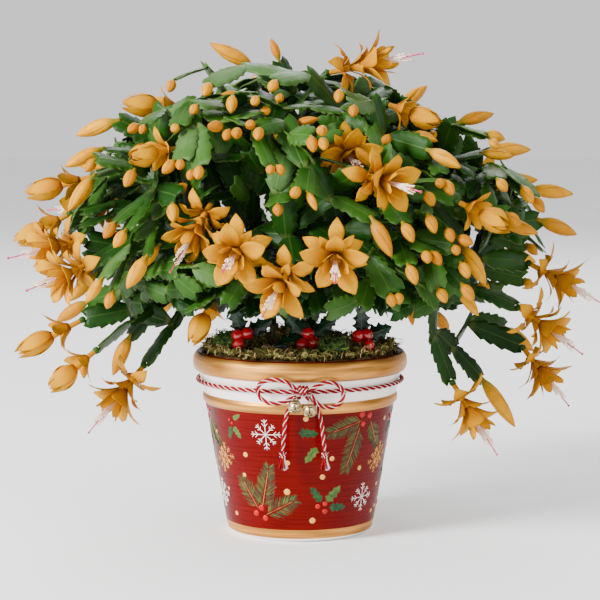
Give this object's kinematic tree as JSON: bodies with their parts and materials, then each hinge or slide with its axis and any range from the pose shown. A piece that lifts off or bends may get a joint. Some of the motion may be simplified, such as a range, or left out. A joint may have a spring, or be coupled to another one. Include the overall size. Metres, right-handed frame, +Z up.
{
  "type": "potted cactus",
  "caption": "Flowering Christmas cactus with arching flat toothed stems, in a tapered glazed pot dressed with moss, holly picks, a twisted cord bow and small round bells.",
  "frame": {"origin": "centre of the pot's flat foot", "axes": "+Z up, -Y towards the front, +X to the right"},
  "size_m": [0.53, 0.4866, 0.4656],
  "materials": {
    "red_glaze": "gloss glaze with muted gold bands",
    "soil": "matt, crumbly",
    "moss": "matt, curly",
    "moss_green": "matt",
    "pad_green": "satin, fleshy",
    "petal_yellow": "satin, translucent",
    "holly_green": "gloss",
    "berry_red": "gloss",
    "twisted_cord": "two-colour twisted yarn",
    "aged_brass": "aged"
  },
  "bodies": {
    "root": {"pot": "red_glaze", "soil": "soil", "moss_mat": "moss", "moss_tuft_left": "moss_green", "moss_tuft_right": "moss_green", "leafy_stem_1": "pad_green", "leafy_stem_2": "pad_green", "leafy_stem_3": "pad_green", "leafy_stem_4": "pad_green", "leafy_stem_5": "pad_green", "leafy_stem_6": "pad_green", "leafy_stem_7": "pad_green", "leafy_stem_8": "pad_green", "bloom_1": "petal_yellow", "bloom_2": "petal_yellow", "bloom_3": "petal_yellow", "bloom_4": "petal_yellow", "bloom_5": "petal_yellow", "bloom_6": "petal_yellow", "bloom_7": "petal_yellow", "bloom_8": "petal_yellow", "bloom_9": "petal_yellow", "bloom_10": "petal_yellow", "bloom_11": "petal_yellow", "bloom_12": "petal_yellow", "bloom_13": "petal_yellow", "bloom_14": "petal_yellow", "bloom_15": "petal_yellow", "bloom_16": "petal_yellow", "bloom_17": "petal_yellow", "bloom_18": "petal_yellow", "bloom_19": "petal_yellow", "bloom_20": "petal_yellow", "bloom_21": "petal_yellow", "bloom_22": "petal_yellow", "bloom_23": "petal_yellow", "bloom_24": "petal_yellow", "bloom_25": "petal_yellow", "bloom_26": "petal_yellow", "bloom_27": "petal_yellow", "bloom_28": "petal_yellow", "bloom_29": "petal_yellow", "holly_leaves_left": "holly_green", "holly_berries_left": "berry_red", "holly_leaves_middle": "holly_green", "holly_berries_middle": "berry_red", "holly_leaves_right": "holly_green", "holly_berries_right": "berry_red", "cord_band": "twisted_cord", "bow_knot": "twisted_cord", "bow_loop_left": "twisted_cord", "bow_loop_right": "twisted_cord", "bow_tail_left": "twisted_cord", "bow_tail_right": "twisted_cord", "tassel_left": "twisted_cord", "tassel_right": "twisted_cord", "bell_left": "aged_brass", "bell_pellet_left": "aged_brass", "bell_right": "aged_brass", "bell_pellet_right": "aged_brass"}
  },
  "joints": []
}
